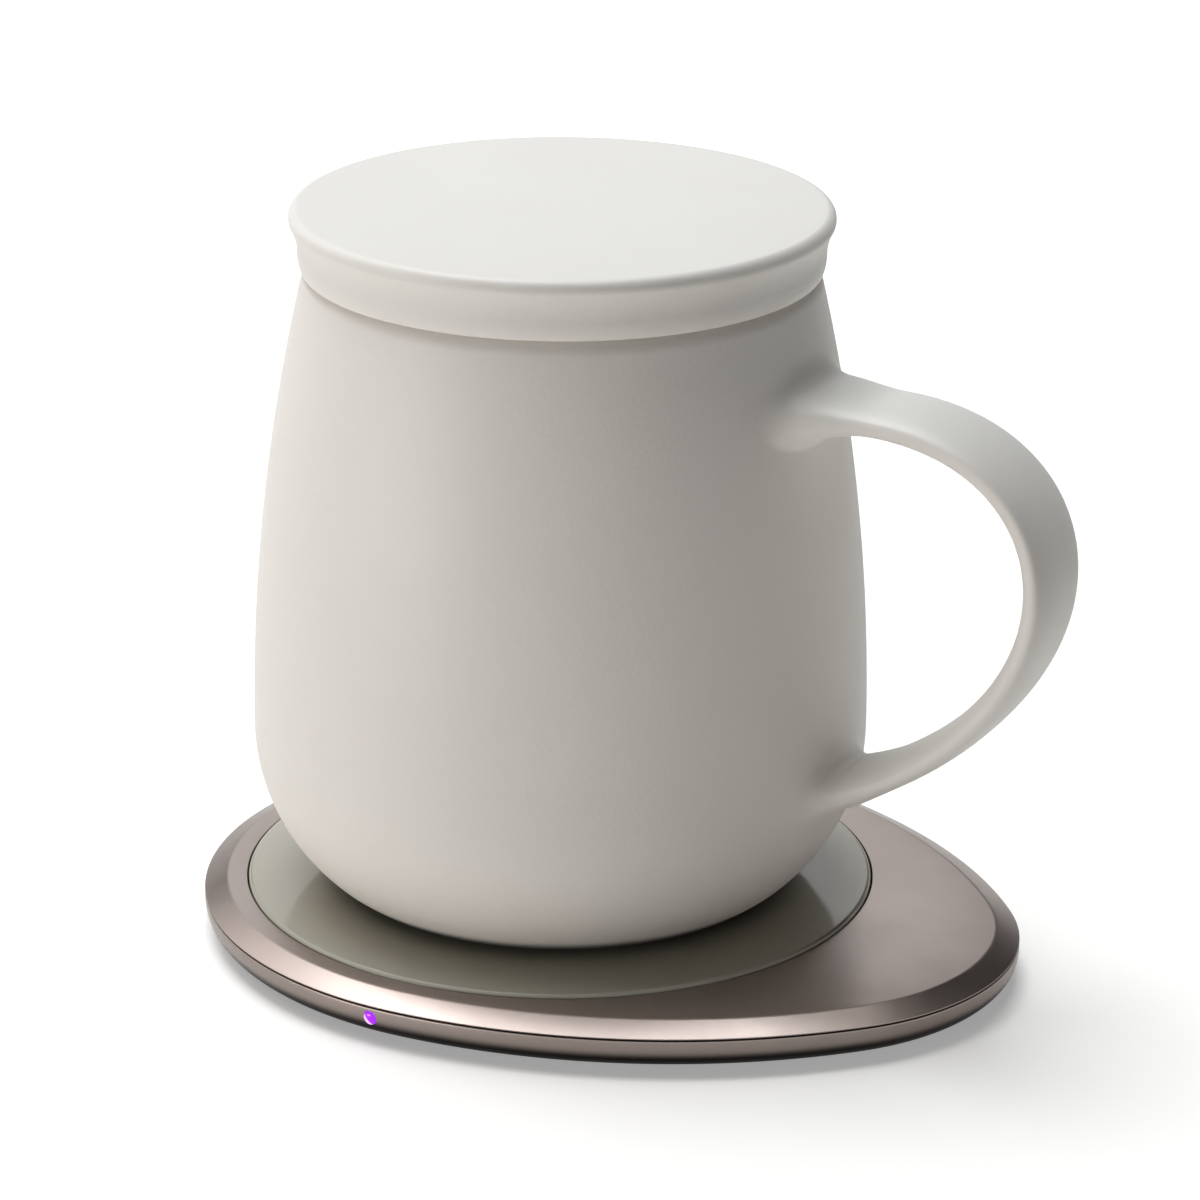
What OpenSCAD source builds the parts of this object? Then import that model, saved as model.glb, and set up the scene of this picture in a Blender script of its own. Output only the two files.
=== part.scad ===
// A heated mug on its warming pad: an egg-shaped pad with a glass warming disc, a ceramic mug
// with a heater sealed in its base, and a lift-off lid. Millimetres, +Z up. The origin is on the
// table under the mug's axis, and +X runs towards the pad's tip and the mug's handle.

/* [Warming pad] */
// Radius of the pad's round end
pad_r = 56; // [55:0.5:58]
// Height of the pad's top face above the table
pad_h = 8; // [8:0.1:8.6]
// Width of the sloping band round the top face
band_w = 3.6; // [3:0.1:4]
// Radius of the glass disc
disc_r = 49.1; // [48:0.1:49.4]
// How far the glass stands proud of the top face
disc_proud = 0.5; // [0.3:0.1:0.8]

/* [Mug] */
// Radius of the mug at its belly
mug_r = 47.7; // [46:0.1:49]
// Height of the mug's rim above the glass
mug_h = 98.4; // [94:0.2:104]
// Height of the belly above the glass
belly_h = 25.5; // [24:0.5:27]
// Radius of the long arc of the mug's side
wall_arc_r = 312; // [300:1:340]
// Radius of the arc that turns the side in to the foot
base_arc_r = 30; // [29:0.5:31]
// Thickness of the ceramic wall
wall = 4; // [3.6:0.1:4.4]

/* [Handle] */
// Turn of the mug on the pad, from the pad's tip
mug_turn = 2.5; // [-20:0.5:20]
// Width of the handle's strap at the top
strap_w = 17; // [13:0.5:18]
// Width of the handle's strap at the bottom
strap_w_low = 15.5; // [11:0.5:16]
// Thickness of the strap
strap_t = 4.7; // [4.4:0.1:6]
// Fillet where the strap runs into the wall
root_fillet = 4.5; // [3:0.5:6]

/* [Lid] */
// Radius of the lid's lip
lip_r = 41.3; // [41:0.1:42]
// Height of the lid's flat top above the rim
lid_h = 9.5; // [9:0.1:11]

/* [Hidden] */
$fn = 96;
far = 300;
slack = 0.15;

// Pad levels, from the table up
foot_h = 0.8;
foot_seat = 0.4;
foot_inset = 6;
tray_floor_z = 2;
tray_top_z = 5.9;
seam_h = 0.3;
plate_z = tray_top_z + seam_h;
plate_edge = 0.15;
plate_t = 1.5;
plate_under_z = pad_h - plate_t;
tray_corner_r = 4.2;
tray_wall = 2.6;
plate_rim = 6;

// Glass and its ledge
disc_t = 1.8;
disc_edge_r = 0.7;
disc_top_z = pad_h + disc_proud;
disc_z = disc_top_z - disc_t;
seat_r = disc_r + 0.2;
ledge_r = 45;
ledge_wall = 1;
ledge_t = 0.8;

// Coils, their sheets and the electronics
wire_d = 1.2;
coil_pitch = 1.65;
coil_r0 = 9;
coil_turns = 9;
tx_coil_z = 5.6;
sheet_r = 26.4;
sheet_t = 0.8;
carrier_r = 27.6;
board_r0 = 30;
board_r1 = 46;
board_z = 2.8;
board_t = 1;
board_screw_r = 38;
board_screw_dirs = [-65, -25, 25, 65];
board_parts_list = [
    // radius, direction, length, width, height
    [38, 0, 7, 7, 1], [36, 45, 5, 5, 0.9], [42, 12, 5, 4, 1.6], [42, -12, 5, 4, 1.6],
    [34, -44, 6, 6, 1.8], [41, -44, 3, 2, 1.2], [41, 52, 3, 2, 1.2], [38, 80, 4, 3, 1],
    [35, -78, 4, 3, 1]
];

// Socket at the back, indicator at the front
socket_size = [8.94, 8.4, 3.2];
socket_z = 4;
socket_front = 54.6;
socket_skin = 0.32;
tongue_size = [6.7, 5.4, 0.7];
lamp_r = 1.11;
dome_r = 1.85;
dome_drop = 1.48;
lamp_z = 4.3;
lamp_flange_r = 1.9;

// Case screws: position of each, then the sizes they share
case_screw_at = [[-41.5, 23], [-41.5, -23], [64, 14], [64, -14]];
screw_r = 0.8;
screw_head_r = 1.7;
screw_head_h = 0.9;
boss_r = 3;
boss_top_z = 3.2;
post_r = 2.2;

// Mug levels
belly_z = disc_top_z + belly_h;
rim_z = disc_top_z + mug_h;
ceramic_foot_z = disc_top_z + 0.5;
rim_edge_r = 0.8;
floor_z = 20;
inner_arc_r = belly_z - floor_z;

// Heater chamber in the mug's base, from the foot up
cover_r = 31;
cover_z = disc_top_z + 0.4;
cover_t = 1.5;
cover_top_z = cover_z + cover_t;
chamber_r = 29;
seal_t = 0.8;
chamber_z = cover_top_z + seal_t;
chamber_top_z = 16;
ring_r0 = 24;
ring_r1 = 27;
ring_seat = 0.7;
heater_t = 0.4;
heater_r = 28;
pad_t = 1.1;
rx_sheet_z = 13.6;
rx_coil_z = 12.9;
rx_board_r = 7;
rx_board_z = 11.6;
probe_r = 2;

// Handle: centre line as a cubic curve in the XZ plane, and the grid of its skin
handle_line = [[37.7, 89.9], [92.7, 104], [99, 45.5], [39, 27.7]];
handle_rings = 48;
handle_sides = 20;
strap_square = 0.72;
strap_outer_share = 0.4;
wrap_reach = 12;

// Lid levels
lid_z = rim_z + 0.05;
lid_top_z = rim_z + lid_h;
skirt_r = 40;
skirt_turn_r = 3.5;
skirt_turn_h = 2;
lip_edge_r = 1.1;
cove_r = 6.4;
plug_r = 34.2;
plug_wall = 2.2;
plug_h = 6.4;
lid_t = 4;
lid_seal_r = 34.75;
lid_seal_h = 2.2;
lid_seal_bite = 1;
lid_seal_z = rim_z - 4.7;

// The pad's outline: a round end and a tip joined by two side arcs, each pair tangent. The side
// arcs' centres make right triangles of exact sides with the other two, 2.325 : 36 : 36.075 and
// 41.25 : 36 : 54.75, so that every joint between arcs is exact.
side_c = [-2.325, 36];
tip_c = [38.925, 0];
tip_r = pad_r + 36.075 - 54.75;
side_r = pad_r + 36.075;
round_end = 8 * [2.325, 36];
tip_end = tip_c + 7 * [41.25, 36];

function below(p) = [p.x, -p.y];

// Each sector of the outline: the arc's centre, its radius and the wedge that it fills
SECTORS = [
    [[0, 0], pad_r, [[0, 0], round_end, [-far, far], [-far, -far], below(round_end)]],
    [tip_c, tip_r, [tip_c, below(tip_end), tip_end]],
    [below(side_c), side_r, [[0, 0], tip_c, tip_end, round_end]],
    [side_c, side_r, [tip_c, [0, 0], below(round_end), below(tip_end)]]
];

// Sweeps an edge profile round the outline: X is measured from the outline, outwards
module egg() {
    for (sector = SECTORS)
        intersection() {
            translate([0, 0, -1]) linear_extrude(20) polygon(sector[2]);
            translate(sector[0])
                rotate_extrude()
                    intersection() {
                        translate([sector[1], 0]) children();
                        translate([0, -1]) square([far, 20]);
                    }
        }
}

// A flat slab of the outline, set in by a distance, between two levels
module egg_slab(inset, z0, z1) {
    egg() translate([-far - inset, z0]) square([far, z1 - z0]);
}

module ring(r0, r1, z0, z1) {
    translate([0, 0, z0])
        difference() {
            cylinder(r = r1, h = z1 - z0);
            translate([0, 0, -1]) cylinder(r = r0, h = z1 - z0 + 2);
        }
}

module disc(r, z0, z1) {
    translate([0, 0, z0]) cylinder(r = r, h = z1 - z0);
}

module at_dirs(radius, directions) {
    for (direction = directions) rotate(direction) translate([radius, 0]) children();
}

// A slot with round ends along Y, for the socket and the opening that it shows through
module slot_y(width, height, y0, y1, z) {
    for (side = [-1, 1])
        translate([side * (width - height) / 2, y0, z])
            rotate([-90, 0, 0]) cylinder(d = height, h = y1 - y0);
    translate([-(width - height) / 2, y0, z - height / 2]) cube([width - height, y1 - y0, height]);
}

// Warming pad

module top_plate() color("#8d807a") {
    difference() {
        egg() polygon([
            [-far, plate_under_z], [-plate_rim, plate_under_z], [-plate_rim, plate_z], [0, plate_z],
            [0, plate_z + plate_edge], [-band_w, pad_h], [-far, pad_h]
        ]);
        disc(seat_r, plate_under_z, pad_h + 1);
        disc(ledge_r, 0, pad_h);
    }
    ring(ledge_r, seat_r + ledge_wall, plate_under_z - ledge_t, plate_under_z);
    for (at = case_screw_at)
        translate(at) ring(screw_r + 0.05, post_r, boss_top_z, plate_under_z);
}

module tray_profile() {
    difference() {
        union() {
            translate([-far, foot_h]) square([far - tray_corner_r, tray_top_z - foot_h]);
            translate([-far, foot_h + tray_corner_r])
                square([far, tray_top_z - foot_h - tray_corner_r]);
            intersection() {
                translate([-tray_corner_r, foot_h + tray_corner_r]) circle(tray_corner_r);
                translate([-tray_corner_r, foot_h]) square(tray_corner_r);
            }
        }
        translate([-far - tray_wall, tray_floor_z]) square([far, far]);
    }
}

module base_tray() color("#857973") {
    difference() {
        union() {
            egg() tray_profile();
            for (at = case_screw_at) translate(at) disc(boss_r, foot_h + foot_seat, boss_top_z);
            at_dirs(board_screw_r, board_screw_dirs) disc(boss_r, tray_floor_z, board_z);
            translate([-5, 46.4, tray_floor_z])
                cube([10, 5.6, socket_z - socket_size.z / 2 - tray_floor_z]);
        }
        egg_slab(foot_inset, 0, foot_h + foot_seat);
        for (at = case_screw_at) translate(at) {
            disc(screw_head_r + slack, 0, foot_h + foot_seat + screw_head_h + slack);
            disc(screw_r + slack, 0, boss_top_z + 1);
        }
        at_dirs(board_screw_r, board_screw_dirs) disc(screw_r + 0.05, foot_h + foot_seat + 0.3, board_z + 1);
        slot_y(socket_size.x + 2 * slack, socket_size.z + 2 * slack, pad_r - 5, pad_r + 1, socket_z);
        translate([0, 0, lamp_z]) rotate([90, 0, 0]) cylinder(r = lamp_r + 0.03, h = pad_r + 1);
    }
}

// Dark seal that shows as a thin line between tray and plate
module case_gasket() color("#1c1918") {
    difference() {
        egg_slab(0.7, tray_top_z, plate_z);
        egg_slab(tray_wall, tray_top_z - 1, plate_z + 1);
    }
}

module glass_disc() color("#c9ccc6") {
    rotate_extrude() {
        translate([0, disc_z]) square([disc_r - disc_edge_r, disc_t]);
        translate([0, disc_z]) square([disc_r, disc_t - disc_edge_r]);
        translate([disc_r - disc_edge_r, disc_top_z - disc_edge_r]) circle(disc_edge_r);
    }
}

module glass_adhesive() color("#2a2a2a") {
    ring(ledge_r + 0.5, disc_r - 0.4, plate_under_z, disc_z);
}

module foot_pad() color("#3a3836") {
    egg_slab(foot_inset + slack, 0, foot_h + foot_seat);
}

// Plastic ring on three legs that holds the coil and its sheet under the glass
module coil_carrier() color("#2b2b2d") {
    ring(carrier_r - 9, carrier_r, tx_coil_z - wire_d / 2 - sheet_t - 1, tx_coil_z - wire_d / 2 - sheet_t);
    ring(sheet_r + 0.2, carrier_r, tx_coil_z - wire_d / 2 - sheet_t, tx_coil_z - wire_d / 2);
    at_dirs(carrier_r - 4, [60, 180, 300])
        disc(2.5, tray_floor_z, tx_coil_z - wire_d / 2 - sheet_t - 0.5);
}

module transmitter_shield() color("#4a4a4c") {
    disc(sheet_r, tx_coil_z - wire_d / 2 - sheet_t, tx_coil_z - wire_d / 2);
}

// A flat winding of half turns, whose centres alternate so that each half meets the next
function half_turn_r(i) = coil_r0 + i * coil_pitch / 2;
function half_turn_x(i) = i % 2 == 0 ? 0 : coil_pitch / 2;
function wire_point(i, angle) =
    [half_turn_x(i) + half_turn_r(i) * cos(angle + 180 * i), half_turn_r(i) * sin(angle + 180 * i)];
wire_gap = min([
    for (i = [0:2 * coil_turns - 3], angle = [0:15:180])
        norm(wire_point(i + 2, angle) - wire_point(i, angle)) - wire_d
]);
echo(least_gap_between_turns = wire_gap);

module winding(z) {
    for (i = [0:2 * coil_turns - 1])
        translate([half_turn_x(i), 0, z])
            rotate(180 * i)
                rotate_extrude(angle = 180) translate([half_turn_r(i), 0]) circle(d = wire_d, $fn = 24);
}

module transmitter_coil() color("#b5722f") winding(tx_coil_z);

module disc_temperature_probe() color("#6b6b6b") {
    disc(probe_r, tx_coil_z - wire_d / 2, disc_z - 0.1);
}

module circuit_board() color("#1f5a35") {
    difference() {
        union() {
            intersection() {
                ring(board_r0, board_r1, board_z, board_z + board_t);
                translate([-6, -far / 2, 0]) cube([far, far, 20]);
            }
            translate([40, -9, board_z]) cube([18, 18, board_t]);
        }
        at_dirs(board_screw_r, board_screw_dirs) disc(screw_r + slack, 0, 20);
    }
}

module board_components() color("#26262a") {
    for (item = board_parts_list)
        rotate(item[1])
            translate([item[0] - item[2] / 2, -item[3] / 2, board_z + board_t])
                cube([item[2], item[3], item[4]]);
}

module screw(under_head_z, length) {
    disc(screw_r, under_head_z - length, under_head_z);
    disc(screw_head_r, under_head_z, under_head_z + screw_head_h);
}

module board_screws() color("#b9b9bb") {
    at_dirs(board_screw_r, board_screw_dirs) screw(board_z + board_t, 2);
}

module usb_socket_shell() color("#c4c4c6") {
    difference() {
        slot_y(socket_size.x, socket_size.z, socket_front - socket_size.y, socket_front, socket_z);
        slot_y(socket_size.x - 2 * socket_skin, socket_size.z - 2 * socket_skin,
               socket_front - socket_size.y + 1.2, socket_front + 1, socket_z);
    }
}

module usb_socket_tongue() color("#202022") {
    translate([-tongue_size.x / 2, socket_front - socket_size.y + 1.2, socket_z - tongue_size.z / 2])
        cube(tongue_size);
}

module indicator_led() color("#f2f0e6") {
    translate([-1.5, -45.4, board_z + board_t]) cube([3, 1.2, 1]);
}

// Clear rod from the lamp on the board to a domed end just proud of the tray's side
module indicator_light_pipe() color("#a23bd6") {
    translate([0, 0, lamp_z]) rotate([90, 0, 0]) rotate_extrude() {
        translate([0, board_r1 + 0.2]) square([lamp_r, pad_r - board_r1 - 0.4]);
        translate([0, pad_r - 4]) square([lamp_flange_r, 1]);
        intersection() {
            translate([0, pad_r - 0.2 - dome_drop]) circle(dome_r, $fn = 48);
            translate([0, pad_r - 0.2]) square([lamp_r, 2]);
        }
    }
}

module case_screws() color("#b9b9bb") {
    for (at = case_screw_at)
        translate(at)
            translate([0, 0, foot_h + foot_seat + screw_head_h]) mirror([0, 0, 1]) screw(0, 3.6);
}

// Mug

function wall_x(radius, z) =
    mug_r - wall_arc_r + sqrt(pow(wall_arc_r - mug_r + radius, 2) - pow(z - belly_z, 2));
function outer_x(z) =
    z >= belly_z ? wall_x(mug_r, z)
    : mug_r - base_arc_r + sqrt(pow(base_arc_r, 2) - pow(z - belly_z, 2));

// Half section of a cup: a long arc above the belly and a short one below, tangent at the belly
module cup_profile(radius, low_arc_r) {
    intersection() {
        translate([mug_r - wall_arc_r, belly_z]) circle(wall_arc_r - mug_r + radius, $fn = 720);
        translate([0, belly_z]) square([far, far / 2]);
    }
    intersection() {
        translate([radius - low_arc_r, belly_z]) circle(low_arc_r);
        translate([radius - low_arc_r, 0]) square([low_arc_r, belly_z]);
    }
    translate([0, belly_z - low_arc_r]) square([radius - low_arc_r, low_arc_r]);
}

module rim_profile() {
    outer = wall_x(mug_r, rim_z - rim_edge_r) - 0.05;
    inner = wall_x(mug_r - wall, rim_z - rim_edge_r) + 0.05;
    for (x = [inner + rim_edge_r, outer - rim_edge_r])
        translate([x, rim_z - rim_edge_r]) circle(rim_edge_r, $fn = 48);
    translate([inner + rim_edge_r, rim_z - 2 * rim_edge_r])
        square([outer - inner - 2 * rim_edge_r, 2 * rim_edge_r]);
}

module mug_body() color("#e9e6e1") {
    rotate_extrude() {
        difference() {
            intersection() {
                cup_profile(mug_r, base_arc_r);
                translate([0, ceramic_foot_z])
                    square([far, rim_z - rim_edge_r - ceramic_foot_z]);
            }
            cup_profile(mug_r - wall, inner_arc_r);
            square([cover_r + 0.2, chamber_z]);
            square([chamber_r, chamber_top_z]);
        }
        rim_profile();
    }
}

function curve(p, t) =
    pow(1 - t, 3) * p[0] + 3 * pow(1 - t, 2) * t * p[1] + 3 * (1 - t) * t * t * p[2] + pow(t, 3) * p[3];
function slope(p, t) =
    pow(1 - t, 2) * (p[1] - p[0]) + 2 * (1 - t) * t * (p[2] - p[1]) + t * t * (p[3] - p[2]);
function side_of(value) = value < 0 ? -1 : 1;
function rounded(value) = side_of(value) * pow(abs(value), strap_square);

// Rings crowd towards the two roots, where the section flares into the wall
function ring_t(i) = let (u = i / (handle_rings - 1)) 0.45 * u + 0.55 * (1 - cos(180 * u)) / 2;
function flare(d) =
    d >= root_fillet ? 0
    : root_fillet - sqrt(pow(root_fillet, 2) - pow(root_fillet - max(d, 0), 2));
function ease(u) = u <= 0 ? 0 : u >= 1 ? 1 : u * u * (3 - 2 * u);

// Bends a point round the mug's axis by a share, so that a ring near the wall follows its curve
function wrap(p, share) = let (turn = p.y / p.x * 180 / PI)
    p + share * ([p.x * cos(turn), p.x * sin(turn), p.z] - p);

function handle_ring(i) = let (
    t = ring_t(i),
    centre = curve(handle_line, t),
    along = slope(handle_line, t) / norm(slope(handle_line, t)),
    out = [-along.y, along.x],
    bend = 1 - ease((centre.x - outer_x(centre.y)) / wrap_reach),
    half_w = (strap_w + (strap_w_low - strap_w) * t) / 2
) [
    for (k = [0:handle_sides - 1]) let (
        angle = 360 * k / handle_sides,
        share = sin(angle) > 0 ? strap_outer_share : 1 - strap_outer_share,
        lift = rounded(sin(angle)) * strap_t * share,
        plain = [centre.x + out.x * lift, half_w * rounded(cos(angle)), centre.y + out.y * lift],
        near = wrap(plain, bend),
        grow = flare(norm([near.x, near.y]) - outer_x(near.z))
    ) wrap(plain + grow * [out.x * sin(angle), cos(angle), out.y * sin(angle)], bend)
];

// Skin of a tube: side quads split into triangles, and a fan on each end
function tube_faces(rings, sides) = concat(
    [for (i = [0:rings - 2], k = [0:sides - 1], half = [0, 1]) let (
        a = i * sides + k, b = i * sides + (k + 1) % sides, c = a + sides, d = b + sides
    ) half == 0 ? [a, b, d] : [a, d, c]],
    [for (k = [1:sides - 2]) [0, k + 1, k]],
    [for (k = [1:sides - 2]) let (last = (rings - 1) * sides) [last, last + k, last + k + 1]]
);

module mug_handle() color("#e9e6e1") {
    rotate(mug_turn) difference() {
        polyhedron(
            points = [for (i = [0:handle_rings - 1]) each handle_ring(i)],
            faces = tube_faces(handle_rings, handle_sides)
        );
        rotate_extrude() cup_profile(mug_r, base_arc_r);
    }
}

module heating_film() color("#7d5a3a") {
    ring(probe_r + 1, heater_r, chamber_top_z - heater_t, chamber_top_z);
}

module insulation_pad() color("#d8d2c0") {
    ring(probe_r + 0.4, heater_r, chamber_top_z - heater_t - pad_t, chamber_top_z - heater_t);
}

module receiver_shield() color("#4a4a4c") {
    ring(probe_r + 0.4, sheet_r, rx_sheet_z, chamber_top_z - heater_t - pad_t);
}

module receiver_coil() color("#b5722f") winding(rx_coil_z);

module receiver_board() color("#1f5a35") disc(rx_board_r, rx_board_z, rx_board_z + 0.8);

module receiver_components() color("#26262a") {
    for (at = [[-4.6, -2, 2.6, 4], [1.8, -3.2, 3, 3], [1.8, 0.8, 2.4, 2.4]])
        translate([at[0], at[1], rx_board_z + 0.8]) cube([at[2], at[3], 0.7]);
}

module heater_temperature_probe() color("#6b6b6b") {
    disc(probe_r, rx_sheet_z, chamber_top_z - 0.05);
}

module base_cover() color("#d9d5cf") {
    difference() {
        disc(cover_r, cover_z, cover_top_z);
        ring(ring_r0 - 0.05, ring_r1 + 0.05, cover_z - 1, cover_z + ring_seat);
    }
    ring(4, 6, cover_top_z, rx_board_z);
}

module base_seal() color("#9a9792") {
    ring(chamber_r + 0.1, cover_r, cover_top_z, chamber_z);
}

module mug_foot_ring() color("#b8b4ae") {
    ring(ring_r0, ring_r1, disc_top_z, cover_z + ring_seat);
}

// Lid

module lid_profile() {
    difference() {
        union() {
            translate([0, lid_z + skirt_turn_h])
                square([skirt_r, lid_top_z - lip_edge_r - lid_z - skirt_turn_h]);
            intersection() {
                translate([skirt_r - skirt_turn_r, lid_z + skirt_turn_h]) circle(skirt_turn_r);
                translate([0, lid_z]) square([far, skirt_turn_h]);
            }
            translate([0, lid_z]) square([skirt_r - skirt_turn_r, skirt_turn_h]);
            translate([0, lid_top_z - cove_r]) square([lip_r, cove_r - lip_edge_r]);
            translate([0, lid_top_z - lip_edge_r]) square([lip_r - lip_edge_r, lip_edge_r]);
            translate([lip_r - lip_edge_r, lid_top_z - lip_edge_r]) circle(lip_edge_r, $fn = 48);
        }
        translate([skirt_r + cove_r, lid_top_z - lip_edge_r - 4.2]) circle(cove_r);
        square([plug_r - plug_wall, lid_top_z - lid_t]);
    }
    difference() {
        translate([plug_r - plug_wall, lid_z - plug_h]) square([plug_wall, plug_h + 1]);
        translate([plug_r - lid_seal_bite, lid_seal_z]) square([lid_seal_bite + 1, lid_seal_h]);
    }
}

module lid_cap() color("#ece9e4") rotate_extrude() lid_profile();

module lid_seal() color("#cfcac2") {
    rotate_extrude()
        difference() {
            translate([plug_r - lid_seal_bite, lid_seal_z])
                square([lid_seal_r - plug_r + lid_seal_bite, lid_seal_h]);
            translate([lid_seal_r + 0.45, lid_seal_z + lid_seal_h / 2]) circle(0.8, $fn = 32);
        }
}

top_plate();
base_tray();
case_gasket();
glass_disc();
glass_adhesive();
foot_pad();
coil_carrier();
transmitter_shield();
transmitter_coil();
disc_temperature_probe();
circuit_board();
board_components();
board_screws();
usb_socket_shell();
usb_socket_tongue();
indicator_led();
indicator_light_pipe();
case_screws();
mug_body();
mug_handle();
heating_film();
insulation_pad();
receiver_shield();
receiver_coil();
receiver_board();
receiver_components();
heater_temperature_probe();
base_cover();
base_seal();
mug_foot_ring();
lid_cap();
lid_seal();
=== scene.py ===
"""Heated mug on its warming pad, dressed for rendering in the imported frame.

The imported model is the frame. The pieces that show are modelled again here with finer edges and
blends, and every other node keeps its own mesh and gets a finish. Lengths in this file are in
millimetres, and turn into metres only where a mesh, light or camera is made.
"""

import logging
import math
from dataclasses import dataclass, field
from enum import Enum
from typing import Iterable, Sequence

import bmesh
import bpy
from mathutils import Matrix, Quaternion, Vector

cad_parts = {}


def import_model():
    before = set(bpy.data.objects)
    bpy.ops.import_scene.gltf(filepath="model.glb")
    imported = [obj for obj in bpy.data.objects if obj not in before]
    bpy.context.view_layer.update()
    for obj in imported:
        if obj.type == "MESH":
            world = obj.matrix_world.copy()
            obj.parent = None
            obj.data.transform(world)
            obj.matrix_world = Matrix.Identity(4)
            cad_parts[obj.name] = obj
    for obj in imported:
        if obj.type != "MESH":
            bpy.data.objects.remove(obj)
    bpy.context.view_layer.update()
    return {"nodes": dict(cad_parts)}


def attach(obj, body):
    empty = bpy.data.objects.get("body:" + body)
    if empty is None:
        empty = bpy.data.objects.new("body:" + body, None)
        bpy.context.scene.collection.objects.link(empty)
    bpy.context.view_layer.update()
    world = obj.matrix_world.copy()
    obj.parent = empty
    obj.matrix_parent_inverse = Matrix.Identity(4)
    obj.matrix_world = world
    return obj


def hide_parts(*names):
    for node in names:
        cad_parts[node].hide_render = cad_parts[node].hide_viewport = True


MM = 0.001
LOG = logging.getLogger("heated_mug")

# Degrees past which an edge stays sharp.
SHARP_ANGLE = 35.0
# Largest share of a stretch that a rounding may take up.
LARGEST_CUT = 0.49
# Length of a straight stretch that only leads into a rounding and isn't kept.
LEAD = 2.0
# Stretches round the mug and the lid, round the glass and round the lamp.
ROUND_STEPS = 192
DISC_STEPS = 240
LAMP_STEPS = 48
# Lays an upright rod along Y.
ON_ITS_SIDE = Matrix.Rotation(math.pi / 2, 3, "X")
# Sockets of a Mix node that blends colours.
MIX_SHARE = 0
MIX_FIRST = 6
MIX_SECOND = 7
MIX_RESULT = 2

Point = tuple[float, float]
Triple = tuple[float, float, float]


def arc(centre: Point, radius: float, start: float, end: float, steps: int) -> list[Point]:
    """Points along an arc.

    Args:
        centre: Centre of the arc.
        radius: Radius of the arc.
        start: First angle in degrees.
        end: Last angle in degrees.
        steps: Number of stretches between the points.

    Returns:
        The points from the first angle to the last, both included.
    """
    angles = [math.radians(start + (end - start) * i / steps) for i in range(steps + 1)]
    return [(centre[0] + radius * math.cos(a), centre[1] + radius * math.sin(a)) for a in angles]


def softened(corners: Sequence[Triple], steps: int = 5) -> list[Point]:
    """Rounds the corners of an open chain.

    Args:
        corners: Across, height and rounding radius of each corner.
        steps: Number of stretches in each rounding.

    Returns:
        The chain with an arc at each corner that has a radius.
    """
    points: list[Point] = []
    for i, (x, z, radius) in enumerate(corners):
        if radius <= 0 or i in (0, len(corners) - 1):
            points.append((x, z))
            continue
        corner = Vector((x, z))
        back = Vector(corners[i - 1][:2]) - corner
        ahead = Vector(corners[i + 1][:2]) - corner
        half = back.angle(ahead) / 2
        cut = min(radius / math.tan(half), LARGEST_CUT * min(back.length, ahead.length))
        back.normalize()
        ahead.normalize()
        centre = corner + (back + ahead).normalized() * (cut / math.cos(half))
        first = corner + back * cut - centre
        last = corner + ahead * cut - centre
        sweep = first.angle(last)
        for k in range(steps + 1):
            share = k / steps
            spoke = first * math.sin((1 - share) * sweep) + last * math.sin(share * sweep)
            point = centre + spoke / math.sin(sweep)
            points.append((point.x, point.y))
    return points


def spun(chain: Sequence[Point], steps: int) -> bmesh.types.BMesh:
    """Turns a half section round the vertical axis.

    Args:
        chain: Radius and height of each point of the section, which starts and ends on the axis.
        steps: Number of stretches round the axis.

    Returns:
        A closed mesh with its faces outwards.
    """
    mesh = bmesh.new()
    verts = [mesh.verts.new((x * MM, 0, z * MM)) for x, z in chain]
    edges = [mesh.edges.new(pair) for pair in zip(verts, verts[1:])]
    bmesh.ops.spin(
        mesh, geom=verts + edges, cent=(0, 0, 0), axis=(0, 0, 1), dvec=(0, 0, 0),
        angle=2 * math.pi, steps=steps, use_merge=True, use_duplicate=False,
    )
    return tidied(mesh)


def stacked(loops: Sequence[Sequence[Vector]], joined: bool = False) -> bmesh.types.BMesh:
    """Skins a stack of loops by extruding the first one through the others.

    Args:
        loops: Loops with the same number of points, in order.
        joined: Whether the last loop lies on the first; otherwise both ends are capped.

    Returns:
        A closed mesh with its faces outwards.
    """
    mesh = bmesh.new()
    ring = bmesh.ops.create_circle(mesh, radius=1, segments=len(loops[0]))["verts"]
    edges = mesh.edges[:]
    for vert, place in zip(ring, loops[0]):
        vert.co = place * MM
    first = edges
    for loop in loops[1:]:
        made = bmesh.ops.extrude_edge_only(mesh, edges=edges)["geom"]
        fresh = {item for item in made if isinstance(item, bmesh.types.BMVert)}
        ring = [
            next(edge.other_vert(vert) for edge in vert.link_edges if edge.other_vert(vert) in fresh)
            for vert in ring
        ]
        edges = [
            item for item in made
            if isinstance(item, bmesh.types.BMEdge) and fresh.issuperset(item.verts)
        ]
        for vert, place in zip(ring, loop):
            vert.co = place * MM
    if not joined:
        for rim in (first, edges):
            bmesh.ops.contextual_create(mesh, geom=rim)
    return tidied(mesh)


def tidied(mesh: bmesh.types.BMesh) -> bmesh.types.BMesh:
    """Merges doubled points and turns the faces outwards.

    Args:
        mesh: The mesh to tidy.

    Returns:
        The same mesh.
    """
    bmesh.ops.remove_doubles(mesh, verts=mesh.verts, dist=1e-7)
    bmesh.ops.recalc_face_normals(mesh, faces=mesh.faces)
    return mesh


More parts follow.
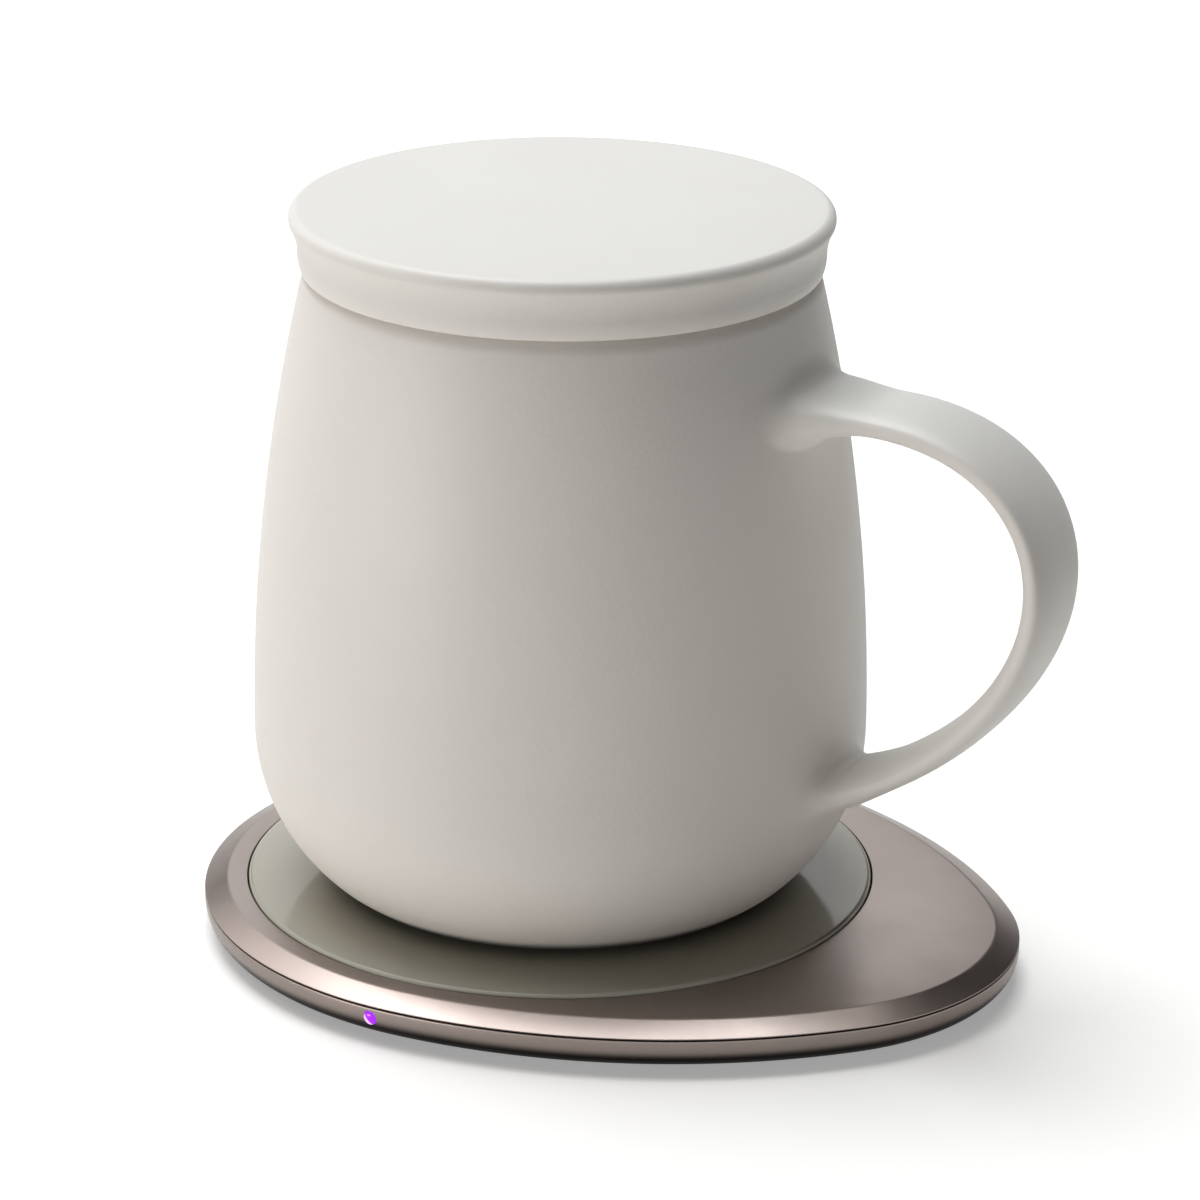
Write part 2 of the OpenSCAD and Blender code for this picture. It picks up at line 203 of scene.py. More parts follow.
class Tint(Enum):
    """Colours of the finishes, the painted shade tones, the lights and the floor, as linear values."""

    GLAZE = (0.80, 0.768, 0.727)
    GLAZE_DEEP = (0.78, 0.742, 0.70)
    # Painted shade at the mug's foot, standing for its contact shadow.
    GLAZE_PAINTED_SHADE = (0.03, 0.027, 0.024)
    BRONZE = (0.315, 0.264, 0.242)
    BRONZE_DEEP = (0.286, 0.238, 0.218)
    # Painted shade at the tray's lower edge.
    BRONZE_PAINTED_SHADE = (0.02, 0.016, 0.014)
    DISC = (0.40, 0.378, 0.312)
    DISC_DEEP = (0.378, 0.357, 0.295)
    SOOT = (0.018, 0.017, 0.016)
    SOOT_DEEP = (0.012, 0.011, 0.011)
    BOARD = (0.015, 0.10, 0.045)
    BOARD_DEEP = (0.01, 0.075, 0.033)
    COPPER = (0.56, 0.24, 0.09)
    COPPER_DEEP = (0.47, 0.18, 0.06)
    STEEL = (0.58, 0.58, 0.59)
    STEEL_DEEP = (0.50, 0.50, 0.51)
    FERRITE = (0.06, 0.06, 0.065)
    FERRITE_DEEP = (0.045, 0.045, 0.05)
    FIBRE = (0.66, 0.62, 0.52)
    FIBRE_DEEP = (0.58, 0.54, 0.44)
    SILICONE = (0.52, 0.50, 0.465)
    SILICONE_DEEP = (0.46, 0.44, 0.41)
    MOULDING = (0.66, 0.635, 0.59)
    MOULDING_DEEP = (0.62, 0.595, 0.55)
    FILM = (0.27, 0.21, 0.175)
    FILM_DEEP = (0.21, 0.16, 0.13)
    VIOLET = (0.32, 0.002, 0.75)
    VIOLET_DEEP = (0.16, 0.001, 0.42)
    ROSE = (1.0, 0.72, 0.96)
    COOL_LIGHT = (0.92, 0.97, 1.0)
    WARM_LIGHT = (1.0, 0.972, 0.945)
    ROOM_LIGHT = (1.0, 0.97, 0.93)
    FLOOR = (0.95, 0.922, 0.89)
    WHITE = (1.0, 1.0, 1.0)

    def rgba(self) -> tuple[float, float, float, float]:
        """The colour with full opacity."""
        return (*self.value, 1.0)


class GrainGroup:
    """Node group of the fine unevenness that every finish shares.

    Attributes:
        name: Name of the group.
        mottle_detail: Octaves of the patches of tone.
        grain_detail: Octaves of the grain.
        spread: Values of the noise between which the roughness changes.
    """

    name = "fine_grain"
    mottle_detail = 3.0
    grain_detail = 2.0
    spread = (0.3, 0.7)

    @classmethod
    def get(cls) -> bpy.types.NodeTree:
        """Builds the group once.

        Returns:
            The group, with a mottled colour, a varied roughness and a bumped normal as outputs.
        """
        if cls.name in bpy.data.node_groups:
            return bpy.data.node_groups[cls.name]
        group = bpy.data.node_groups.new(cls.name, "ShaderNodeTree")
        face = group.interface
        for label, kind in (
            ("Light Tone", "NodeSocketColor"), ("Deep Tone", "NodeSocketColor"),
            ("Mottle Scale", "NodeSocketFloat"), ("Grain Scale", "NodeSocketFloat"),
            ("Low Roughness", "NodeSocketFloat"), ("High Roughness", "NodeSocketFloat"),
            ("Depth", "NodeSocketFloat"),
        ):
            face.new_socket(name=label, in_out="INPUT", socket_type=kind)
        for label, kind in (
            ("Colour", "NodeSocketColor"), ("Roughness", "NodeSocketFloat"), ("Normal", "NodeSocketVector"),
        ):
            face.new_socket(name=label, in_out="OUTPUT", socket_type=kind)
        nodes, links = group.nodes, group.links
        inside = nodes.new("NodeGroupInput")
        outside = nodes.new("NodeGroupOutput")
        place = nodes.new("ShaderNodeTexCoord")
        mottle = nodes.new("ShaderNodeTexNoise")
        mottle.inputs["Detail"].default_value = cls.mottle_detail
        grain = nodes.new("ShaderNodeTexNoise")
        grain.inputs["Detail"].default_value = cls.grain_detail
        blend = nodes.new("ShaderNodeMix")
        blend.data_type = "RGBA"
        rough = nodes.new("ShaderNodeMapRange")
        bump = nodes.new("ShaderNodeBump")
        bump.inputs["Strength"].default_value = 1.0
        links.new(place.outputs["Object"], mottle.inputs["Vector"])
        links.new(place.outputs["Object"], grain.inputs["Vector"])
        links.new(inside.outputs["Mottle Scale"], mottle.inputs["Scale"])
        links.new(inside.outputs["Grain Scale"], grain.inputs["Scale"])
        links.new(mottle.outputs["Fac"], blend.inputs[MIX_SHARE])
        links.new(inside.outputs["Light Tone"], blend.inputs[MIX_FIRST])
        links.new(inside.outputs["Deep Tone"], blend.inputs[MIX_SECOND])
        links.new(mottle.outputs["Fac"], rough.inputs["Value"])
        rough.inputs["From Min"].default_value = cls.spread[0]
        rough.inputs["From Max"].default_value = cls.spread[1]
        links.new(inside.outputs["Low Roughness"], rough.inputs["To Min"])
        links.new(inside.outputs["High Roughness"], rough.inputs["To Max"])
        links.new(grain.outputs["Fac"], bump.inputs["Height"])
        links.new(inside.outputs["Depth"], bump.inputs["Distance"])
        links.new(blend.outputs[MIX_RESULT], outside.inputs["Colour"])
        links.new(rough.outputs["Result"], outside.inputs["Roughness"])
        links.new(bump.outputs["Normal"], outside.inputs["Normal"])
        return group


@dataclass(frozen=True)
class Finish:
    """A finish of the object: two close tones, how rough it is and how fine its grain is.

    Attributes:
        name: Name of the material.
        light: Lighter tone.
        deep: Deeper tone.
        rough: Lowest and highest roughness.
        mottle: Patches of tone per metre.
        grain: Bumps per metre.
        depth: Height of the bumps in metres.
        metallic: Share of bare metal, 0 to 1.
        specular: Specular level.
    """

    name: str
    light: Tint
    deep: Tint
    rough: Point
    mottle: float
    grain: float
    depth: float
    metallic: float = 0.0
    specular: float = 0.5

    def material(self) -> bpy.types.Material:
        """Builds the finish's material on first use.

        Returns:
            The material.
        """
        if self.name in bpy.data.materials:
            return bpy.data.materials[self.name]
        made = bpy.data.materials.new(self.name)
        made.use_nodes = True
        nodes, links = made.node_tree.nodes, made.node_tree.links
        shader = nodes["Principled BSDF"]
        grain = nodes.new("ShaderNodeGroup")
        grain.node_tree = GrainGroup.get()
        grain.inputs["Light Tone"].default_value = self.light.rgba()
        grain.inputs["Deep Tone"].default_value = self.deep.rgba()
        grain.inputs["Mottle Scale"].default_value = self.mottle
        grain.inputs["Grain Scale"].default_value = self.grain
        grain.inputs["Low Roughness"].default_value = self.rough[0]
        grain.inputs["High Roughness"].default_value = self.rough[1]
        grain.inputs["Depth"].default_value = self.depth
        links.new(grain.outputs["Colour"], shader.inputs["Base Color"])
        links.new(grain.outputs["Roughness"], shader.inputs["Roughness"])
        links.new(grain.outputs["Normal"], shader.inputs["Normal"])
        shader.inputs["Metallic"].default_value = self.metallic
        shader.inputs["Specular IOR Level"].default_value = self.specular
        self.add_to(made, shader)
        return made

    def add_to(self, made: bpy.types.Material, shader: bpy.types.Node) -> None:
        """Place for what only one kind of finish has; a plain finish adds nothing."""


@dataclass(frozen=True, kw_only=True)
class PaintedShadeFinish(Finish):
    """A finish with shade painted into its colour, darker towards the bottom where the piece turns under.

    Attributes:
        dark: Tone of the painted shade at the bottom.
        low: Height at which it is fully dark.
        high: Height at which the painted shade starts.
    """

    dark: Tint
    low: float
    high: float

    def add_to(self, made: bpy.types.Material, shader: bpy.types.Node) -> None:
        """Blends the painted shade tone into the grain's colour by height, before the shader.

        Args:
            made: The piece's material.
            shader: Its shader.
        """
        # The darkening by height is painted shade, not a colour of the material.
        nodes, links = made.node_tree.nodes, made.node_tree.links
        place = nodes.new("ShaderNodeTexCoord")
        split = nodes.new("ShaderNodeSeparateXYZ")
        share = nodes.new("ShaderNodeMapRange")
        share.interpolation_type = "SMOOTHSTEP"
        share.inputs["From Min"].default_value = self.low * MM
        share.inputs["From Max"].default_value = self.high * MM
        blend = nodes.new("ShaderNodeMix")
        blend.data_type = "RGBA"
        blend.inputs[MIX_FIRST].default_value = self.dark.rgba()
        plain = shader.inputs["Base Color"].links[0].from_socket
        links.new(place.outputs["Object"], split.inputs[0])
        links.new(split.outputs["Z"], share.inputs["Value"])
        links.new(share.outputs["Result"], blend.inputs[MIX_SHARE])
        links.new(plain, blend.inputs[MIX_SECOND])
        links.new(blend.outputs[MIX_RESULT], shader.inputs["Base Color"])


@dataclass(frozen=True)
class LitFinish(Finish):
    """A lens lit from behind, whose glow pales towards one side.

    Attributes:
        glow: Strength of the glow.
        centre: Height of the lens.
        reach: Half of the lens's height.
        fade: Shares of that height at which the pale side ends and the full colour starts.
    """

    glow: float = 1.0
    centre: float = 4.3
    reach: float = 1.1
    fade: Point = (0.08, 0.34)

    def add_to(self, made: bpy.types.Material, shader: bpy.types.Node) -> None:
        """Adds the glow.

        Args:
            made: The lens's material.
            shader: Its shader.
        """
        nodes, links = made.node_tree.nodes, made.node_tree.links
        place = nodes.new("ShaderNodeTexCoord")
        split = nodes.new("ShaderNodeSeparateXYZ")
        slant = nodes.new("ShaderNodeMath")
        slant.operation = "ADD"
        height = nodes.new("ShaderNodeMapRange")
        height.inputs["From Min"].default_value = (self.centre - self.reach) * MM
        height.inputs["From Max"].default_value = (self.centre + self.reach) * MM
        ramp = nodes.new("ShaderNodeValToRGB")
        for stop, share, tint in zip(ramp.color_ramp.elements, self.fade, (Tint.ROSE, Tint.VIOLET)):
            stop.position = share
            stop.color = tint.rgba()
        links.new(place.outputs["Object"], split.inputs[0])
        links.new(split.outputs["Z"], slant.inputs[0])
        links.new(split.outputs["X"], slant.inputs[1])
        links.new(slant.outputs[0], height.inputs["Value"])
        links.new(height.outputs["Result"], ramp.inputs["Fac"])
        links.new(ramp.outputs["Color"], shader.inputs["Emission Color"])
        shader.inputs["Emission Strength"].default_value = self.glow


class Finishes:
    """The object's finishes."""

    glaze = Finish(
        "matte_glaze", Tint.GLAZE, Tint.GLAZE_DEEP, rough=(0.44, 0.54),
        mottle=35.0, grain=1400.0, depth=0.00003,
    )
    # Painted shadow: the glaze darkens at the foot to stand for the contact shadow and its dark reflection
    # in the glass.
    footed_glaze = PaintedShadeFinish(
        "footed_glaze", Tint.GLAZE, Tint.GLAZE_DEEP, rough=(0.44, 0.54),
        mottle=35.0, grain=1400.0, depth=0.00003, dark=Tint.GLAZE_PAINTED_SHADE, low=9.5, high=12.4,
    )
    bronze = Finish(
        "satin_bronze", Tint.BRONZE, Tint.BRONZE_DEEP, rough=(0.30, 0.36),
        mottle=90.0, grain=5200.0, depth=0.00001, metallic=1.0,
    )
    # Painted shade: the tray darkens towards its underside to stand for the dark floor and contact shadow
    # it mirrors.
    under = PaintedShadeFinish(
        "turned_under_bronze", Tint.BRONZE, Tint.BRONZE_DEEP, rough=(0.30, 0.36),
        mottle=90.0, grain=5200.0, depth=0.00001, metallic=1.0, dark=Tint.BRONZE_PAINTED_SHADE, low=2.6, high=4.4,
    )
    disc = Finish(
        "warming_glass", Tint.DISC, Tint.DISC_DEEP, rough=(0.08, 0.13),
        mottle=25.0, grain=300.0, depth=0.000002, specular=0.45,
    )
    soot = Finish(
        "dark_silicone", Tint.SOOT, Tint.SOOT_DEEP, rough=(0.55, 0.72),
        mottle=120.0, grain=3500.0, depth=0.00003,
    )
    moulded = Finish(
        "black_moulding", Tint.SOOT, Tint.SOOT_DEEP, rough=(0.4, 0.5),
        mottle=150.0, grain=4000.0, depth=0.00002,
    )
    board = Finish(
        "solder_mask", Tint.BOARD, Tint.BOARD_DEEP, rough=(0.3, 0.4),
        mottle=250.0, grain=3000.0, depth=0.00001,
    )
    copper = Finish(
        "enamelled_copper", Tint.COPPER, Tint.COPPER_DEEP, rough=(0.22, 0.35),
        mottle=400.0, grain=5000.0, depth=0.00001, metallic=1.0,
    )
    steel = Finish(
        "plated_steel", Tint.STEEL, Tint.STEEL_DEEP, rough=(0.2, 0.3),
        mottle=300.0, grain=6000.0, depth=0.00001, metallic=1.0,
    )
    ferrite = Finish(
        "ferrite", Tint.FERRITE, Tint.FERRITE_DEEP, rough=(0.5, 0.7),
        mottle=300.0, grain=5000.0, depth=0.00002,
    )
    fibre = Finish(
        "pressed_fibre", Tint.FIBRE, Tint.FIBRE_DEEP, rough=(0.8, 0.95),
        mottle=500.0, grain=2500.0, depth=0.00008,
    )
    silicone = Finish(
        "grey_silicone", Tint.SILICONE, Tint.SILICONE_DEEP, rough=(0.45, 0.6),
        mottle=150.0, grain=3500.0, depth=0.00002,
    )
    cover = Finish(
        "pale_moulding", Tint.MOULDING, Tint.MOULDING_DEEP, rough=(0.4, 0.5),
        mottle=120.0, grain=3500.0, depth=0.00002,
    )
    film = Finish(
        "resistance_film", Tint.FILM, Tint.FILM_DEEP, rough=(0.35, 0.5),
        mottle=400.0, grain=4000.0, depth=0.00001, metallic=1.0,
    )
    lens = LitFinish(
        "violet_lens", Tint.VIOLET, Tint.VIOLET_DEEP, rough=(0.08, 0.12),
        mottle=400.0, grain=2000.0, depth=0.000002,
    )


@dataclass(frozen=True)
class Piece:
    """A finished piece of the object, before it joins the frame.

    Attributes:
        name: Name of the piece.
        finish: Its finish.
        slot: The record's material slot that the finish belongs to; not used.
        body: The body that it moves with.
        nodes: The nodes that it stands for.
        sharp: Angle in degrees past which an edge stays sharp.
    """

    name: str
    finish: Finish
    slot: str
    body: str
    nodes: tuple[str, ...]
    sharp: float = SHARP_ANGLE

    def place(self, mesh: bmesh.types.BMesh) -> bpy.types.Object:
        """Makes the object and ties it to the frame.

        Args:
            mesh: The piece's shape, which is freed.

        Returns:
            The object.
        """
        data = bpy.data.meshes.new(self.name)
        mesh.to_mesh(data)
        mesh.free()
        data.shade_smooth()
        data.set_sharp_from_angle(angle=math.radians(self.sharp))
        data.materials.append(self.finish.material())
        made = bpy.data.objects.new(self.name, data)
        bpy.context.scene.collection.objects.link(made)
        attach(made, self.body)
        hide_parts(*self.nodes)
        LOG.info("%s: %d faces on %s", self.name, len(data.polygons), self.body)
        return made


def dress(nodes: dict[str, bpy.types.Object], names: Iterable[str], finish: Finish) -> None:
    """Gives nodes that keep their own mesh a finish.

    Args:
        nodes: The frame's nodes by name.
        names: The nodes to dress.
        finish: The finish that they get.
    """
    for name in names:
        for holder in nodes[name].material_slots:
            holder.material = finish.material()
        LOG.info("%s: %s", name, finish.name)


@dataclass(frozen=True)
class EggOutline:
    """The pad's outline: a round end, a tip and two side arcs, all tangent.

    Attributes:
        round_r: Radius of the round end, which is centred on the mug's axis.
        tip_x: Distance from that axis to the tip's centre.
        side: Distances from the axis to a side arc's centre.
        steps: Stretches along the round end, a side arc and the tip.
    """

    round_r: float = 56.0
    tip_x: float = 38.925
    side: Point = (-2.325, 36.0)
    steps: tuple[int, int, int] = (132, 54, 48)

    def loop(self, inset: float, z: float) -> list[Vector]:
        """Points of the outline, set in by a distance.

        Args:
            inset: How far inside the outline the loop runs.
            z: Height of the loop.

        Returns:
            The points, anticlockwise from above.
        """
        past_round = math.hypot(*self.side)
        past_tip = math.hypot(self.tip_x - self.side[0], self.side[1])
        turn = math.degrees(math.atan2(self.side[1], -self.side[0]))
        tip_turn = math.degrees(math.atan2(self.side[1], self.tip_x - self.side[0]))
        side_r = self.round_r + past_round - inset
        tip_r = self.round_r + past_round - past_tip - inset
        far_side = (self.side[0], -self.side[1])
        round_steps, side_steps, tip_steps = self.steps
        arcs = (
            ((0.0, 0.0), self.round_r - inset, turn, 360 - turn, round_steps),
            (self.side, side_r, -turn, -tip_turn, side_steps),
            ((self.tip_x, 0.0), tip_r, -tip_turn, tip_turn, tip_steps),
            (far_side, side_r, tip_turn, turn, side_steps),
        )
        return [Vector((x, y, z)) for each in arcs for x, y in arc(*each)[:-1]]

    def ring(self, radius: float, z: float) -> list[Vector]:
        """A circle round the mug's axis, with its points in line with the outline's."""
        spokes = [Vector((p.x, p.y, 0)).normalized() * radius for p in self.loop(0, 0)]
        return [Vector((p.x, p.y, z)) for p in spokes]


@dataclass
class WarmingPad:
    """The pad: plate, tray, glass disc, lamp and what is inside.

    Attributes:
        outline: Outline at the widest level.
        top_z: Height of the top face.
        plate_thick: Thickness of the plate's top.
        band: Width of the sloping band.
        plate_z: Underside of the plate's edge.
        edge: Height of the plate's upright edge.
        edge_rounds: Roundings below and above that edge.
        band_round: Rounding where the band meets the top.
        hem: How far in the plate's edge and the tray's underside reach.
        tray_top: Top of the tray's wall.
        tray_wall: Thickness of that wall.
        tray_edges: Roundings of its inner and outer top edges.
        tray_floor: Height of the tray's floor inside.
        tray_low: Underside of the tray.
        tray_round: Radius of the tray's rounded underside.
        foot_z: Ceiling of the recess for the foot pad.
        seat_r: Radius of the seat for the glass.
        seat_round: Rounding of the seat's edge.
        disc_r: Radius of the glass.
        disc_top: Top of the glass.
        disc_low: Underside of the glass.
        disc_edges: Roundings of its lower and upper edges.
        lamp_z: Height of the lamp.
        lamp_r: Radius of the lamp.
        lamp_gap: Clearance round it in the tray.
        lamp_proud: How far its tip stands out of the tray's side.
        lamp_cut: Length of the cut for it, and distance from the mug's axis to the cut's middle.
        dome_r: Radius of its domed end.
        pipe_start: Distance from the mug's axis to its inner end.
        collar: Distances from that axis to its collar's faces.
        collar_r: Radius of the collar.
        inlet: Width, depth and height of the power inlet's opening.
        inlet_round: Radius of the opening's round ends.
        inlet_y: Distance from the mug's axis to the opening's middle.
        inlet_z: Height of the opening's middle.
    """

    outline: EggOutline = field(default_factory=EggOutline)
    top_z: float = 8.0
    plate_thick: float = 1.5
    band: float = 3.6
    plate_z: float = 6.2
    edge: float = 0.15
    edge_rounds: Point = (0.08, 0.12)
    band_round: float = 1.6
    hem: float = 6.0
    tray_top: float = 5.9
    tray_wall: float = 2.6
    tray_edges: Point = (0.1, 0.18)
    tray_floor: float = 2.0
    tray_low: float = 0.8
    tray_round: float = 4.2
    foot_z: float = 1.2
    seat_r: float = 49.3
    seat_round: float = 0.12
    disc_r: float = 49.1
    disc_top: float = 8.5
    disc_low: float = 6.7
    disc_edges: Point = (0.1, 0.7)
    lamp_z: float = 4.3
    lamp_r: float = 1.11
    lamp_gap: float = 0.04
    lamp_proud: float = 0.17
    lamp_cut: Point = (10.0, 54.0)
    dome_r: float = 1.85
    pipe_start: float = 46.2
    collar: Point = (52.0, 53.0)
    collar_r: float = 1.9
    inlet: Triple = (9.24, 8.0, 3.5)
    inlet_round: float = 1.74
    inlet_y: float = 55.0
    inlet_z: float = 4.0

    def build(self, nodes: dict[str, bpy.types.Object]) -> None:
        """Builds and dresses the whole pad.

        Args:
            nodes: The frame's nodes by name.
        """
        self.plate()
        self.tray()
        self.disc()
        self.lamp()
        dress(nodes, ("case_gasket", "foot_pad", "glass_adhesive"), Finishes.soot)
        dress(nodes, ("coil_carrier", "board_components", "usb_socket_tongue"), Finishes.moulded)
        dress(nodes, ("disc_temperature_probe",), Finishes.moulded)
        dress(nodes, ("transmitter_shield",), Finishes.ferrite)
        dress(nodes, ("transmitter_coil",), Finishes.copper)
        dress(nodes, ("circuit_board",), Finishes.board)
        dress(nodes, ("board_screws", "case_screws", "usb_socket_shell"), Finishes.steel)
        dress(nodes, ("indicator_led",), Finishes.cover)

    def plate(self) -> None:
        """The upper plate, with its sloping band, soft edges and seat for the glass."""
        under = self.top_z - self.plate_thick
        slope = softened([
            (self.hem, under, 0), (self.hem, self.plate_z, 0), (0.0, self.plate_z, self.edge_rounds[0]),
            (0.0, self.plate_z + self.edge, self.edge_rounds[1]),
            (self.band, self.top_z, self.band_round), (self.band + LEAD, self.top_z, 0),
        ], steps=6)
        loops = [self.outline.ring(self.seat_r, under)]
        loops += [self.outline.loop(inset, z) for inset, z in slope[:-1]]
        seat = softened([
            (self.seat_r + LEAD, self.top_z, 0), (self.seat_r, self.top_z, self.seat_round),
            (self.seat_r, under, 0),
        ], steps=4)
        loops += [self.outline.ring(radius, z) for radius, z in seat[1:]]
        plate = Piece("plate_shell", Finishes.bronze, "bronze_metal", "pad", ("top_plate",))
        plate.place(stacked(loops, joined=True))

    def tray(self) -> None:
        """The lower tray, with its rounded underside, the lamp's hole and the inlet's opening."""
        turn_z = self.tray_low + self.tray_round
        turn = arc((self.tray_round, turn_z), self.tray_round, 180, 270, steps=18)
        wall = softened([
            (self.tray_wall, self.tray_floor, 0), (self.tray_wall, self.tray_top, self.tray_edges[0]),
            (0.0, self.tray_top, self.tray_edges[1]), (*turn[0], 0),
        ])
        foot = [(self.hem, self.tray_low), (self.hem, self.foot_z)]
        loops = [self.outline.loop(inset, z) for inset, z in wall[:-1] + turn + foot]
        # The tray's finish paints shade into its lower edge.
        tray = Piece("tray_shell", Finishes.under, "bronze_metal", "pad", ("base_tray",))
        self.cut(tray.place(stacked(loops)), [self.lamp_hole(), self.inlet_hole()])

    def lamp_hole(self) -> bmesh.types.BMesh:
        """Makes a rod where the lamp comes through the tray's side.

        Returns:
            The rod, to be cut away.
        """
        length, middle = self.lamp_cut
        radius = (self.lamp_r + self.lamp_gap) * MM
        mesh = bmesh.new()
        bmesh.ops.create_cone(
            mesh, cap_ends=True, segments=LAMP_STEPS, radius1=radius, radius2=radius, depth=length * MM
        )
        bmesh.ops.rotate(mesh, verts=mesh.verts, cent=(0, 0, 0), matrix=ON_ITS_SIDE)
        bmesh.ops.translate(mesh, verts=mesh.verts, vec=(0, -middle * MM, self.lamp_z * MM))
        return mesh

    def inlet_hole(self) -> bmesh.types.BMesh:
        """Makes a block with round ends where the power inlet opens in the tray's back.

        Returns:
            The block, to be cut away.
        """
        width, depth, height = (size * MM for size in self.inlet)
        mesh = bmesh.new()
        bmesh.ops.create_cube(mesh, size=1)
        bmesh.ops.scale(mesh, verts=mesh.verts, vec=(width, depth, height))
        lengthways = [e for e in mesh.edges if abs((e.verts[0].co - e.verts[1].co).y) > depth / 2]
        bmesh.ops.bevel(
            mesh, geom=lengthways, offset=self.inlet_round * MM, offset_type="OFFSET", affect="EDGES",
            segments=10, profile=0.5, material=-1,
        )
        bmesh.ops.translate(mesh, verts=mesh.verts, vec=(0, self.inlet_y * MM, self.inlet_z * MM))
        return mesh

    @staticmethod
    def cut(made: bpy.types.Object, holes: Sequence[bmesh.types.BMesh]) -> None:
        """Cuts holes through a piece and keeps the result as its mesh.

        Args:
            made: The piece.
            holes: The shapes to take away, which are freed.
        """
        cutters = []
        for i, hole in enumerate(holes):
            data = bpy.data.meshes.new(f"hole_{i}")
            hole.to_mesh(data)
            hole.free()
            cutter = bpy.data.objects.new(f"hole_{i}", data)
            bpy.context.scene.collection.objects.link(cutter)
            taken = made.modifiers.new(f"hole_{i}", "BOOLEAN")
            taken.operation = "DIFFERENCE"
            taken.solver = "EXACT"
            taken.object = cutter
            cutters.append(cutter)
        bpy.context.view_layer.update()
        whole = made.evaluated_get(bpy.context.evaluated_depsgraph_get())
        plain = made.data
        made.data = bpy.data.meshes.new_from_object(whole)
        made.modifiers.clear()
        bpy.data.meshes.remove(plain)
        made.data.name = made.name
        made.data.shade_smooth()
        made.data.set_sharp_from_angle(angle=math.radians(SHARP_ANGLE))
        for cutter in cutters:
            bpy.data.objects.remove(cutter)

    def disc(self) -> None:
        """The glass disc, with its edge rounded over."""
        chain = softened([
            (0.0, self.disc_low, 0), (self.disc_r, self.disc_low, self.disc_edges[0]),
            (self.disc_r, self.disc_top, self.disc_edges[1]), (0.0, self.disc_top, 0),
        ], steps=10)
        pane = Piece("disc_pane", Finishes.disc, "disc_glass", "pad", ("glass_disc",))
        pane.place(spun(chain, DISC_STEPS))

    def lamp(self) -> None:
        """The lamp's lens: a rod with a collar and a domed end just proud of the tray's side."""
        dome_z = self.outline.round_r + self.lamp_proud - self.dome_r
        reach = math.degrees(math.asin(self.lamp_r / self.dome_r))
        near, far = self.collar
        chain = [(0.0, self.pipe_start), (self.lamp_r, self.pipe_start), (self.lamp_r, near)]
        chain += [(self.collar_r, near), (self.collar_r, far), (self.lamp_r, far)]
        chain += arc((0.0, dome_z), self.dome_r, 90 - reach, 90, steps=10)
        mesh = spun(chain, LAMP_STEPS)
        bmesh.ops.rotate(mesh, verts=mesh.verts, cent=(0, 0, 0), matrix=ON_ITS_SIDE)
        bmesh.ops.translate(mesh, verts=mesh.verts, vec=(0, 0, self.lamp_z * MM))
        Piece("lamp_lens", Finishes.lens, "lamp_lens", "pad", ("indicator_light_pipe",)).place(mesh)


